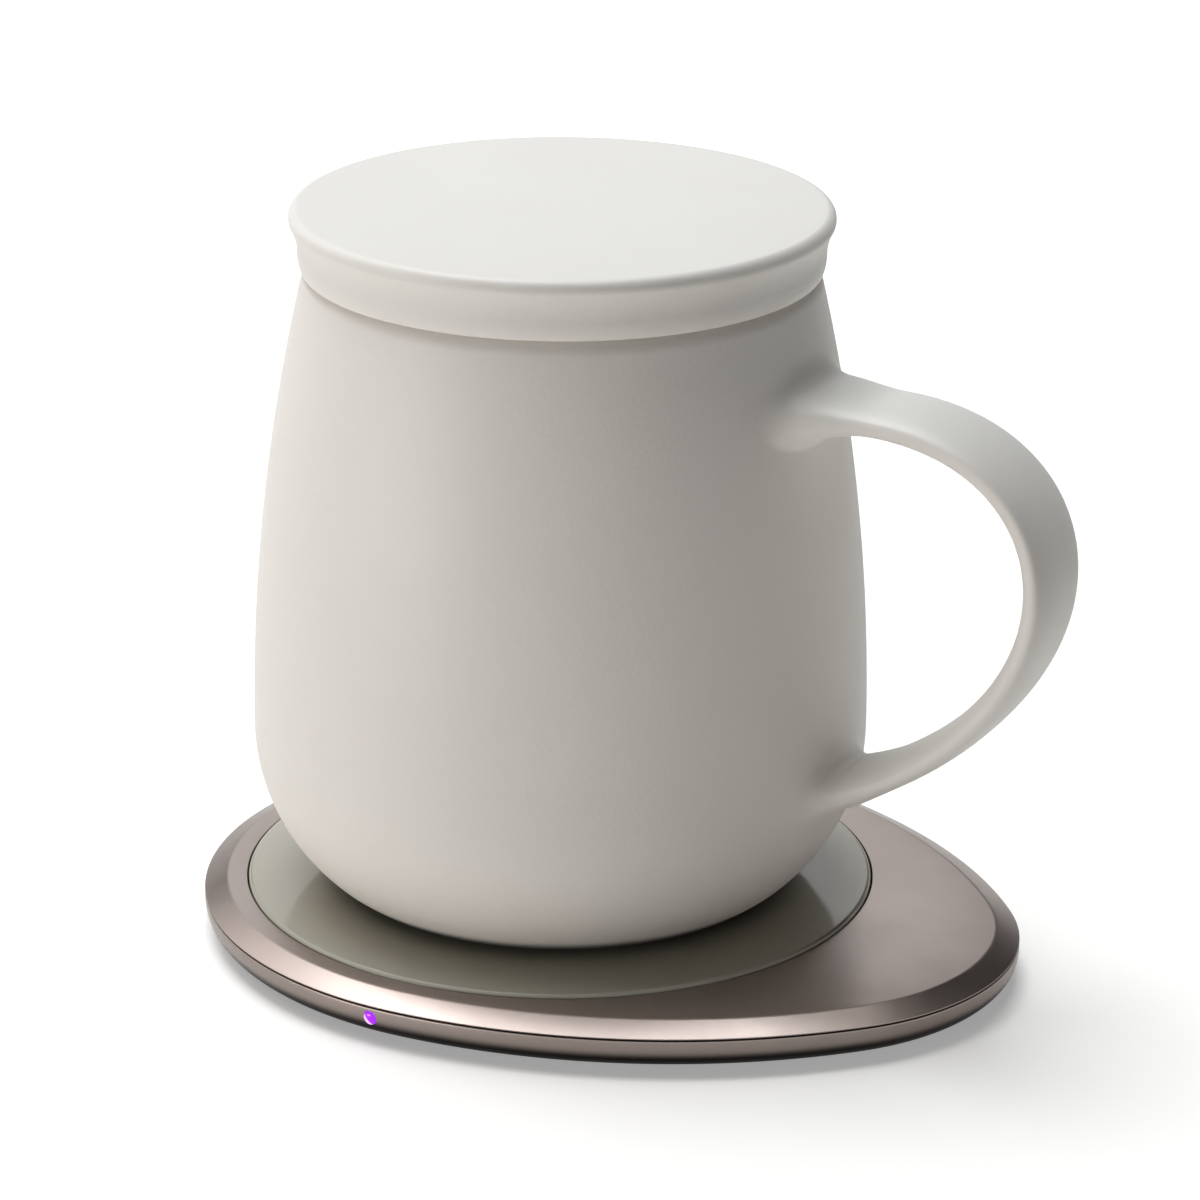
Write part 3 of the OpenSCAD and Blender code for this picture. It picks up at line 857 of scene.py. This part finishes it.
@dataclass
class Mug:
    """The mug: ceramic shell, strap handle and the heater sealed in its base.

    Attributes:
        belly_r: Radius at the belly.
        belly_z: Height of the belly.
        wall_arc: Radius of the side's long arc.
        base_arc: Radius of the arc that turns the side in to the foot.
        wall: Thickness of the wall.
        rim_z: Height of the rim.
        rim_round: Radius of the rim's outer edge.
        mouth_round: Radius of the rim's inner edge.
        foot_z: Underside of the ceramic.
        foot_round: Radius of the foot's outer edge.
        floor_z: Height of the floor inside.
        recess_r: Radius of the heater's recess in the base.
        recess_z: Ceiling of the recess.
        ledge_r: Radius of the ledge for the base cover.
        ledge_z: Height of the ledge.
        ledge_round: Rounding of the recess's mouth.
        turn: How far the handle stands from the pad's tip, in degrees.
        line: Control points of the strap's centre line, as distance from the axis and height.
        width: Strap widths at the top and at the bottom.
        thick: Strap thickness.
        outer_share: Share of the thickness that is outside the centre line.
        square: How square the strap's section is; 1 is an ellipse.
        fillets: Radii of the blends where the strap meets the wall, at the top and at the bottom.
        flare: How much the strap grows towards the wall, at the top and at the bottom.
        inner: Shares of swell and flare on the strap's inner face, at the top and at the bottom.
        reach: Distance over which the strap takes up the wall's curve.
        around: Points round the strap's section.
        bedded: For each loop inside the wall, how much it swells past the blend and its gap to the wall.
        skin: How far the blend's loops lie under their place, so that they meet the wall.
    """

    belly_r: float = 47.7
    belly_z: float = 34.0
    wall_arc: float = 312.0
    base_arc: float = 30.0
    wall: float = 4.0
    rim_z: float = 106.9
    rim_round: float = 3.0
    mouth_round: float = 0.9
    foot_z: float = 9.0
    foot_round: float = 5.0
    floor_z: float = 20.0
    recess_r: float = 29.0
    recess_z: float = 16.0
    ledge_r: float = 31.2
    ledge_z: float = 11.2
    ledge_round: float = 0.3
    turn: float = 2.5
    line: tuple[Point, ...] = ((37.7, 89.9), (92.7, 104.0), (99.0, 45.5), (39.0, 27.7))
    width: Point = (17.0, 15.5)
    thick: float = 4.7
    outer_share: float = 0.4
    square: float = 0.8
    fillets: Point = (3.6, 4.4)
    flare: Point = (2.3, 0.9)
    inner: Point = (0.5, 1.0)
    reach: float = 12.0
    around: int = 56
    bedded: tuple[Point, ...] = ((-1.0, -1.5), (1.2, -0.05), (0.6, -0.02))
    skin: float = 0.005

    def build(self, nodes: dict[str, bpy.types.Object]) -> None:
        """Builds and dresses the whole mug.

        Args:
            nodes: The frame's nodes by name.
        """
        self.shell()
        self.handle()
        dress(nodes, ("base_seal", "mug_foot_ring"), Finishes.silicone)
        dress(nodes, ("base_cover",), Finishes.cover)
        dress(nodes, ("heating_film",), Finishes.film)
        dress(nodes, ("insulation_pad",), Finishes.fibre)
        dress(nodes, ("receiver_shield",), Finishes.ferrite)
        dress(nodes, ("receiver_coil",), Finishes.copper)
        dress(nodes, ("receiver_board",), Finishes.board)
        dress(nodes, ("receiver_components", "heater_temperature_probe"), Finishes.moulded)

    def wall_r(self, z: float, inset: float = 0.0) -> float:
        """Radius of the outer wall at a height, or of a wall set in from it.

        Args:
            z: Height.
            inset: How far inside the outer wall.

        Returns:
            The radius.
        """
        radius = self.wall_arc if z >= self.belly_z else self.base_arc
        return self.belly_r - radius + math.sqrt((radius - inset) ** 2 - (z - self.belly_z) ** 2)

    def shell(self) -> None:
        """The ceramic body: rounded foot, barrel side, soft rim, round-cornered floor and base recess."""
        steps = 44
        rim_c = (self.wall_r(self.rim_z - self.rim_round, self.rim_round), self.rim_z - self.rim_round)
        lean = math.asin((rim_c[1] - self.belly_z) / (self.wall_arc - self.rim_round))
        top = self.belly_z + self.wall_arc * math.sin(lean)
        heights = [self.belly_z + (top - self.belly_z) * i / steps for i in range(steps + 1)]
        inner_arc = self.belly_z - self.floor_z
        inner_r = self.belly_r - self.wall
        lowest = math.degrees(math.asin((self.foot_z - self.belly_z) / self.base_arc))
        base = arc((self.belly_r - self.base_arc, self.belly_z), self.base_arc, lowest, 0, steps=30)
        side = [(self.wall_r(z), z) for z in heights[1:]]
        mouth_c = (self.wall_r(top, self.wall) + self.mouth_round, self.rim_z - self.mouth_round)
        rim = arc(rim_c, self.rim_round, math.degrees(lean), 90, steps=12)[1:]
        rim += arc(mouth_c, self.mouth_round, 90, 180, steps=6)
        inside = [(self.wall_r(z, self.wall), z) for z in reversed(heights[:-1])]
        floor = arc((inner_r - inner_arc, self.belly_z), inner_arc, 0, -90, steps=24)[1:]
        clear = 4  # Points of the base's arc that the foot's rounding takes up.
        recess = softened([
            (0.0, self.recess_z, 0), (self.recess_r, self.recess_z, 0), (self.recess_r, self.ledge_z, 0),
            (self.ledge_r, self.ledge_z, 0), (self.ledge_r, self.foot_z, self.ledge_round),
            (base[0][0], self.foot_z, self.foot_round), (*base[clear], 0),
        ], steps=8)
        chain = recess[:-1] + base[clear:] + side + rim + inside + floor + [(0.0, self.floor_z)]
        # The shell's finish paints the contact shadow at the foot into the glaze.
        body = Piece("mug_shell", Finishes.footed_glaze, "mug_ceramic", "mug", ("mug_body",))
        body.place(spun(chain, ROUND_STEPS))

    def centre(self, t: float) -> Vector:
        """Point of the strap's centre line at a share of its length."""
        a, b, c, d = (Vector(p) for p in self.line)
        return (1 - t) ** 3 * a + 3 * (1 - t) ** 2 * t * b + 3 * (1 - t) * t * t * c + t ** 3 * d

    def along(self, t: float) -> Vector:
        """Direction of the strap's centre line at a share of its length."""
        a, b, c, d = (Vector(p) for p in self.line)
        return ((1 - t) ** 2 * (b - a) + 2 * (1 - t) * t * (c - b) + t * t * (d - c)).normalized()

    def gap(self, t: float) -> float:
        """Distance from the wall to the strap's centre line."""
        point = self.centre(t)
        return point.x - self.wall_r(point.y)

    def share_at(self, gap: float, low: float, high: float) -> float:
        """Finds where the centre line is a given distance from the wall.

        Args:
            gap: The distance.
            low: Share at which the line is nearer than that.
            high: Share at which it is further.

        Returns:
            The share of the line's length.
        """
        halvings = 40
        for _ in range(halvings):
            middle = (low + high) / 2
            low, high = (middle, high) if self.gap(middle) < gap else (low, middle)
        return (low + high) / 2

    def ring(self, t: float, swell: float = 0.0, gap: float = 0.0, cling: float = 0.0) -> list[Vector]:
        """One loop of the strap's skin.

        Args:
            t: Share of the centre line.
            swell: How much wider the loop is than the plain strap.
            gap: Distance from the wall that the loop is drawn to.
            cling: Share of that pull; 0 leaves the loop as it is.

        Returns:
            The loop's points.
        """
        centre = self.centre(t)
        along = self.along(t)
        out = Vector((-along.y, along.x))
        near = min(max((centre.x - self.wall_r(centre.y)) / self.reach, 0.0), 1.0)
        bend = 1 - near * near * (3 - 2 * near)
        half = (self.width[0] + (self.width[1] - self.width[0]) * t) / 2
        end = 0 if t < 0.5 else 1
        grown = swell + self.flare[end] * bend
        loop = []
        for k in range(self.around):
            angle = 2 * math.pi * k / self.around
            across = math.copysign(abs(math.cos(angle)) ** self.square, math.cos(angle)) * half
            lift = math.copysign(abs(math.sin(angle)) ** self.square, math.sin(angle)) * self.thick
            lift *= self.outer_share if lift > 0 else 1 - self.outer_share
            y = across + grown * math.cos(angle)
            rise = lift + grown * math.sin(angle) * (1.0 if lift > 0 else self.inner[end])
            x = centre.x + out.x * rise
            z = centre.y + out.y * rise
            turn = y / x
            bent = Vector((x * math.cos(turn), x * math.sin(turn)))
            flat = Vector((x, y)).lerp(bent, bend)
            flat *= 1 + cling * ((self.wall_r(z) + gap) / flat.length - 1)
            loop.append(Vector((flat.x, flat.y, z)))
        return loop

    def handle(self) -> None:
        """The strap handle, blended into the wall at both roots."""
        blend_steps = 12
        plain_steps = 72
        turns = [math.radians(90 * k / blend_steps) for k in range(blend_steps + 1)]
        roots: list[list[list[Vector]]] = []
        plain_from: list[float] = []
        for far, fillet in zip((0.0, 1.0), self.fillets):
            root = self.share_at(0.0, far, 0.5)
            loops = [self.ring(root, fillet + more, sunk, 1.0) for more, sunk in self.bedded]
            for turn in turns:
                gap = fillet * (1 - math.cos(turn))
                swell = fillet * (1 - math.sin(turn))
                cling = math.cos(turn) ** 0.5 if turn < turns[-1] else 0.0
                loops.append(self.ring(self.share_at(gap, far, 0.5), swell, gap - self.skin, cling))
            roots.append(loops)
            plain_from.append(self.share_at(fillet, far, 0.5))
        first, last = plain_from
        plain = [self.ring(first + (last - first) * k / plain_steps) for k in range(1, plain_steps)]
        mesh = stacked(roots[0] + plain + roots[1][::-1])
        spin = Matrix.Rotation(math.radians(self.turn), 3, "Z")
        bmesh.ops.rotate(mesh, verts=mesh.verts, cent=(0, 0, 0), matrix=spin)
        strap = Piece("strap_handle", Finishes.glaze, "mug_ceramic", "mug", ("mug_handle",), sharp=60.0)
        strap.place(mesh)


@dataclass
class Lid:
    """The lift-off lid: a cap with a lip, a plug below it and a silicone ring.

    Attributes:
        lip_r: Radius of the lip.
        skirt_r: Radius of the skirt under it.
        low_z: Level at which the lid stands on the rim.
        top_z: Height of the flat top.
        edge: Radius of the lip's rounded edge.
        cove: Radius of the cove between lip and skirt.
        hem: Radius of the skirt's turned-in foot.
        hem_z: Height over which the skirt turns in.
        top_thick: Thickness of the top.
        hollow_r: Radius of the hollow inside the plug.
        hollow_edges: Roundings of the hollow's ceiling and mouth.
        plug_r: Radius of the plug.
        plug_z: Underside of the plug.
        foot_round: Rounding of the plug's and the skirt's lower edges.
        groove_r: Radius of the silicone ring's groove.
        groove_z: Heights of the groove's floor and ceiling.
        groove_round: Rounding of the groove's edges.
    """

    lip_r: float = 41.3
    skirt_r: float = 40.0
    low_z: float = 106.95
    top_z: float = 116.4
    edge: float = 1.5
    cove: float = 9.0
    hem: float = 8.0
    hem_z: float = 2.8
    top_thick: float = 4.0
    hollow_r: float = 32.0
    hollow_edges: Point = (1.5, 0.7)
    plug_r: float = 34.2
    plug_z: float = 100.55
    foot_round: float = 0.5
    groove_r: float = 33.2
    groove_z: Point = (102.2, 104.4)
    groove_round: float = 0.1

    def build(self, nodes: dict[str, bpy.types.Object]) -> None:
        """Builds and dresses the lid.

        Args:
            nodes: The frame's nodes by name.
        """
        self.cap()
        dress(nodes, ("lid_seal",), Finishes.silicone)

    def cap(self) -> None:
        """The cap: flat top, soft lip, coved skirt and hollow plug with its groove."""
        middle = Vector((self.lip_r - self.edge, self.top_z - self.edge))
        spread = math.acos((self.skirt_r + self.cove - middle.x) / (self.cove + self.edge))
        cove_z = middle.y - (self.cove + self.edge) * math.sin(spread)
        turn = math.degrees(spread)
        lip = arc((self.skirt_r + self.cove, cove_z), self.cove, 180, 180 - turn, steps=12)
        edge = arc(tuple(middle), self.edge, -turn, 90, steps=16)
        hem = math.degrees(math.asin(self.hem_z / self.hem))
        skirt = arc((self.skirt_r - self.hem, self.low_z + self.hem_z), self.hem, -hem, 0, steps=8)
        clear = 3  # Points of the hem that its foot's rounding takes up.
        ceiling = self.top_z - self.top_thick
        low, high = self.groove_z
        plug = softened([
            (0.0, ceiling, 0), (self.hollow_r, ceiling, self.hollow_edges[0]),
            (self.hollow_r, self.plug_z, self.hollow_edges[1]), (self.plug_r, self.plug_z, self.foot_round),
            (self.plug_r, low, self.groove_round), (self.groove_r, low, 0), (self.groove_r, high, 0),
            (self.plug_r, high, self.groove_round), (self.plug_r, self.low_z, 0),
            (skirt[0][0], self.low_z, self.foot_round), (*skirt[clear], 0),
        ])
        chain = plug[:-1] + skirt[clear:] + lip + edge[1:] + [(0.0, self.top_z)]
        cap = Piece("lid_shell", Finishes.glaze, "mug_ceramic", "lid", ("lid_cap",))
        cap.place(spun(chain, ROUND_STEPS))


@dataclass
class Studio:
    """Floor, background, lamps and camera, laid out as the camera sees them.

    Attributes:
        azimuth: Turn of the camera round the object, in degrees.
        lens: Focal length.
        sensor: Width of the camera's frame.
        clip: Nearest and farthest distances that the camera sees.
        distance: Distance from the mug's axis to the camera, along the floor.
        height: Height of the camera.
        pitch: How far the camera looks down, in radians.
        yaw: How far it looks aside, in radians.
        roll: How far it is tipped sideways, in radians.
        ambient: Strength of the light from all round.
        floor_r: Radius of the floor.
        floor_lift: How much paler the floor is seen, and mirrored, than it is lit.
        white_lift: How much paler again the camera sees it round the object.
        white_from: Distances at which it starts to turn white and is white.
        aim: What the lamps and cards point at.
    """

    azimuth: float = 30.4
    lens: float = 146.985
    sensor: float = 36.0
    clip: Point = (50.0, 50000.0)
    distance: float = 712.5
    height: float = 314.3
    pitch: float = 0.3514
    yaw: float = 0.00847
    roll: float = 0.0064
    ambient: float = 0.04
    floor_r: float = 6000.0
    floor_lift: float = 0.12
    white_lift: float = 0.2
    white_from: Point = (250.0, 900.0)
    aim: Triple = (0.0, 0.0, 60.0)

    def build(self) -> None:
        """Sets up the whole studio."""
        self.camera()
        self.world()
        self.floor()
        self.card("right_card", (850, 910, 1160), (1440, 1440))
        self.card("low_right_card", (800, 1443, 471), (1120, 360))
        self.card("edge_card", (375, 1452, 825), (230, 420))
        self.card("left_card", (-660, 1556, 513), (420, 420))
        self.lamp("top_lamp", (-256, 526, 1973), (1400, 1400), power=36.5, tint=Tint.COOL_LIGHT)
        self.lamp("left_lamp", (-1087, 578, 1636), (1700, 1700), power=10.8, tint=Tint.WARM_LIGHT)
        self.lamp("low_lamp", (-1690, -1010, 95), (1400, 170), power=13.5, tint=Tint.WARM_LIGHT)
        self.lamp("back_lamp", (166, 2372, 833), (1500, 1500), power=1.6, tint=Tint.COOL_LIGHT)
        bpy.context.scene.view_settings.view_transform = "Standard"

    def spot(self, place: Sequence[float]) -> Vector:
        """A place given as right, away and up from the camera's side, in the frame's metres."""
        return Matrix.Rotation(math.radians(self.azimuth), 3, "Z") @ Vector(place) * MM

    def camera(self) -> None:
        """The camera at the photograph's angle."""
        data = bpy.data.cameras.new("camera")
        data.lens = self.lens
        data.sensor_width = self.sensor
        data.sensor_fit = "HORIZONTAL"
        data.clip_start = self.clip[0] * MM
        data.clip_end = self.clip[1] * MM
        made = bpy.data.objects.new("camera", data)
        bpy.context.scene.collection.objects.link(made)
        ahead = Vector((
            math.sin(self.yaw) * math.cos(self.pitch),
            math.cos(self.yaw) * math.cos(self.pitch),
            -math.sin(self.pitch),
        ))
        made.location = self.spot((0, -self.distance, self.height))
        turn = self.spot(ahead).to_track_quat("-Z", "Y") @ Quaternion((0, 0, 1), self.roll)
        made.rotation_euler = turn.to_euler()
        bpy.context.scene.camera = made

    def world(self) -> None:
        """Even light from all round, and white where the camera or a reflection sees it."""
        world = bpy.data.worlds.new("studio")
        bpy.context.scene.world = world
        world.use_nodes = True
        nodes, links = world.node_tree.nodes, world.node_tree.links
        nodes.clear()
        light = nodes.new("ShaderNodeBackground")
        light.inputs["Color"].default_value = Tint.ROOM_LIGHT.rgba()
        light.inputs["Strength"].default_value = self.ambient
        white = nodes.new("ShaderNodeBackground")
        white.inputs["Color"].default_value = Tint.WHITE.rgba()
        ends = nodes.new("ShaderNodeOutputWorld")
        choice = nodes.new("ShaderNodeMixShader")
        links.new(self.seen(nodes, links), choice.inputs[0])
        links.new(light.outputs[0], choice.inputs[1])
        links.new(white.outputs[0], choice.inputs[2])
        links.new(choice.outputs[0], ends.inputs["Surface"])

    @staticmethod
    def seen(nodes: bpy.types.Nodes, links: bpy.types.NodeLinks) -> bpy.types.NodeSocket:
        """Tells rays that show a background from rays that carry light.

        Args:
            nodes: Nodes of the tree to add to.
            links: Links of that tree.

        Returns:
            A socket that is 1 for camera, glossy and transmission rays.
        """
        path = nodes.new("ShaderNodeLightPath")
        total = path.outputs["Is Camera Ray"]
        for label in ("Is Glossy Ray", "Is Transmission Ray"):
            both = nodes.new("ShaderNodeMath")
            both.operation = "MAXIMUM"
            links.new(total, both.inputs[0])
            links.new(path.outputs[label], both.inputs[1])
            total = both.outputs[0]
        return total

    def floor(self) -> None:
        """A wide pale floor that keeps the object's shadow."""
        mesh = bmesh.new()
        bmesh.ops.create_circle(mesh, cap_ends=True, segments=64, radius=self.floor_r * MM)
        data = bpy.data.meshes.new("floor")
        mesh.to_mesh(data)
        mesh.free()
        made = bpy.data.objects.new("floor", data)
        bpy.context.scene.collection.objects.link(made)
        pale = bpy.data.materials.new("pale_floor")
        pale.use_nodes = True
        nodes, links = pale.node_tree.nodes, pale.node_tree.links
        nodes.clear()
        matte = nodes.new("ShaderNodeBsdfDiffuse")
        matte.inputs["Color"].default_value = Tint.FLOOR.rgba()
        lift = nodes.new("ShaderNodeEmission")
        lift.inputs["Color"].default_value = Tint.WHITE.rgba()
        mirrored = nodes.new("ShaderNodeMath")
        mirrored.operation = "MULTIPLY"
        mirrored.inputs[1].default_value = self.floor_lift
        looked_at = nodes.new("ShaderNodeMath")
        looked_at.operation = "MULTIPLY_ADD"
        place = nodes.new("ShaderNodeTexCoord")
        away = nodes.new("ShaderNodeVectorMath")
        away.operation = "LENGTH"
        whiter = nodes.new("ShaderNodeMapRange")
        whiter.interpolation_type = "SMOOTHSTEP"
        whiter.inputs["From Min"].default_value = self.white_from[0] * MM
        whiter.inputs["From Max"].default_value = self.white_from[1] * MM
        whiter.inputs["To Min"].default_value = self.white_lift
        path = nodes.new("ShaderNodeLightPath")
        links.new(place.outputs["Object"], away.inputs[0])
        links.new(away.outputs["Value"], whiter.inputs["Value"])
        links.new(whiter.outputs["Result"], looked_at.inputs[1])
        links.new(self.seen(nodes, links), mirrored.inputs[0])
        links.new(path.outputs["Is Camera Ray"], looked_at.inputs[0])
        links.new(mirrored.outputs[0], looked_at.inputs[2])
        links.new(looked_at.outputs[0], lift.inputs["Strength"])
        both = nodes.new("ShaderNodeAddShader")
        ends = nodes.new("ShaderNodeOutputMaterial")
        links.new(matte.outputs[0], both.inputs[0])
        links.new(lift.outputs[0], both.inputs[1])
        links.new(both.outputs[0], ends.inputs["Surface"])
        data.materials.append(pale)

    def lamp(self, name: str, place: Sequence[float], size: Point, power: float, tint: Tint) -> None:
        """A soft lamp that points at the object.

        Args:
            name: Name of the lamp.
            place: Where it hangs, as the camera sees it.
            size: Width and height.
            power: Power in watts.
            tint: Colour of its light.
        """
        data = bpy.data.lights.new(name, "AREA")
        data.shape = "RECTANGLE"
        data.size = size[0] * MM
        data.size_y = size[1] * MM
        data.energy = power
        data.color = tint.value
        made = bpy.data.objects.new(name, data)
        bpy.context.scene.collection.objects.link(made)
        self.point(made, place)

    def point(self, made: bpy.types.Object, place: Sequence[float]) -> None:
        """Hangs something up and turns it to the object."""
        made.location = self.spot(place)
        made.rotation_euler = (self.spot(self.aim) - made.location).to_track_quat("-Z", "Y").to_euler()

    def card(self, name: str, place: Sequence[float], size: Point) -> None:
        """A dark card that the metal mirrors.

        Args:
            name: Name of the card.
            place: Where it hangs, as the camera sees it.
            size: Width and height.
        """
        mesh = bmesh.new()
        bmesh.ops.create_grid(mesh, x_segments=1, y_segments=1, size=MM / 2)
        bmesh.ops.scale(mesh, verts=mesh.verts, vec=(*size, 1.0))
        data = bpy.data.meshes.new(name)
        mesh.to_mesh(data)
        mesh.free()
        data.materials.append(Finishes.soot.material())
        made = bpy.data.objects.new(name, data)
        bpy.context.scene.collection.objects.link(made)
        made.visible_camera = False
        self.point(made, place)


def main() -> None:
    """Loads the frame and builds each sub-assembly in order."""
    logging.basicConfig(level=logging.INFO, format="%(message)s")
    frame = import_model()
    WarmingPad().build(frame["nodes"])
    Mug().build(frame["nodes"])
    Lid().build(frame["nodes"])
    Studio().build()


if __name__ == "__main__":
    main()
